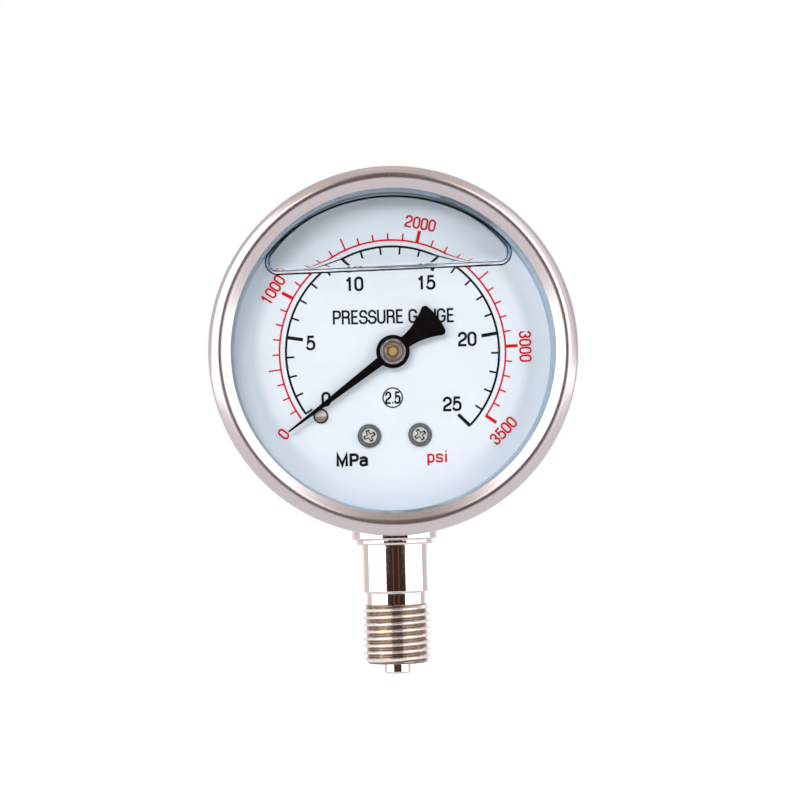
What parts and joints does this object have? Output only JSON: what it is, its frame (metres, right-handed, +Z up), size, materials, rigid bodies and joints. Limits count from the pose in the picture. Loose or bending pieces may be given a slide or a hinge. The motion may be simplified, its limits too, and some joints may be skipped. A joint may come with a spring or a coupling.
{
  "type": "pressure gauge",
  "caption": "Liquid-filled Bourdon tube pressure gauge: round steel case with crimped bezel, dual-scale dial, gear movement and threaded bottom stem.",
  "frame": {"origin": "on the stem's axis, in the end face of the thread, where the sealing ring sits", "axes": "+Z up along the stem, -Y is the way the dial faces, +X to the right as the dial is read"},
  "size_m": [0.068, 0.0335, 0.0946],
  "materials": {
    "case_steel": "satin deep-drawn stainless steel",
    "bezel_steel": "circular-brushed stainless steel",
    "stem_steel": "turned and polished stainless steel",
    "window_glass": "clear instrument glass",
    "gasket_rubber": "grey-blue moulded rubber",
    "seal_rubber": "black rubber",
    "dial_paint": "white painted aluminium with printed scale",
    "pointer_paint": "matte black painted aluminium",
    "hub_nickel": "turned, nickel plated",
    "movement_brass": "stamped and turned brass",
    "tube_bronze": "drawn phosphor bronze",
    "spring_bronze": "rolled bronze strip",
    "screw_steel": "oxidised steel",
    "pin_steel": "polished steel"
  },
  "bodies": {
    "case": {"case_cup": "case_steel", "bezel_ring": "bezel_steel", "window_glass": "window_glass", "window_gasket": "gasket_rubber", "filling_plug": "seal_rubber", "case_boss": "stem_steel", "socket": "stem_steel", "restrictor_screw": "movement_brass", "stem_retaining_ring": "stem_steel", "stem_o_ring": "seal_rubber", "bourdon_tube": "tube_bronze", "movement_back_plate": "movement_brass", "movement_front_plate": "movement_brass", "movement_pillars": "movement_brass", "movement_screws": "screw_steel", "mount_screws": "screw_steel", "sector_stop_pins": "pin_steel", "hairspring": "spring_bronze", "hairspring_stud": "movement_brass", "dial_plate": "dial_paint", "dial_posts": "movement_brass", "dial_screws": "screw_steel", "pointer_stop_pin": "pin_steel"},
    "sector": {"sector_gear": "movement_brass", "sector_arbor": "pin_steel", "sector_link_pin": "pin_steel"},
    "spindle": {"pinion_shaft": "movement_brass", "hairspring_collet": "movement_brass", "pointer": "pointer_paint", "pointer_hub": "hub_nickel"},
    "tube_tip": {"tube_tip_block": "movement_brass", "tip_link_screw": "screw_steel"},
    "link": {"drive_link": "movement_brass"}
  },
  "joints": [
    {"name": "sector_swing", "type": "hinge", "parent": "case", "child": "sector", "pos_m": [0.01061, -0.0086, 0.04799], "axis": [0, -1, 0], "range_deg": [0, 29.11], "stiffness_Nm_per_rad": 0.002, "springref_deg": -28.65},
    {"name": "pointer_turn", "type": "hinge", "parent": "case", "child": "spindle", "pos_m": [0, -0.0086, 0.0586], "axis": [0, 1, 0], "range_deg": [0, 262], "deforming": ["hairspring"]},
    {"name": "tube_tip_swing", "type": "hinge", "parent": "case", "child": "tube_tip", "pos_m": [-0.00584, 0.00025, 0.06444], "axis": [0, -1, 0], "range_deg": [0, 7.08], "deforming": ["bourdon_tube"]},
    {"name": "link_turn", "type": "hinge", "parent": "tube_tip", "child": "link", "pos_m": [0.018, -0.0078, 0.0591], "axis": [0, -1, 0], "range_deg": [-6.9, 0]}
  ],
  "couplings": [
    {"joint": "pointer_turn", "follows": "sector_swing", "ratio": 9},
    {"joint": "tube_tip_swing", "follows": "sector_swing", "ratio": 0.24315},
    {"joint": "link_turn", "follows": "sector_swing", "ratio": -0.23689}
  ]
}
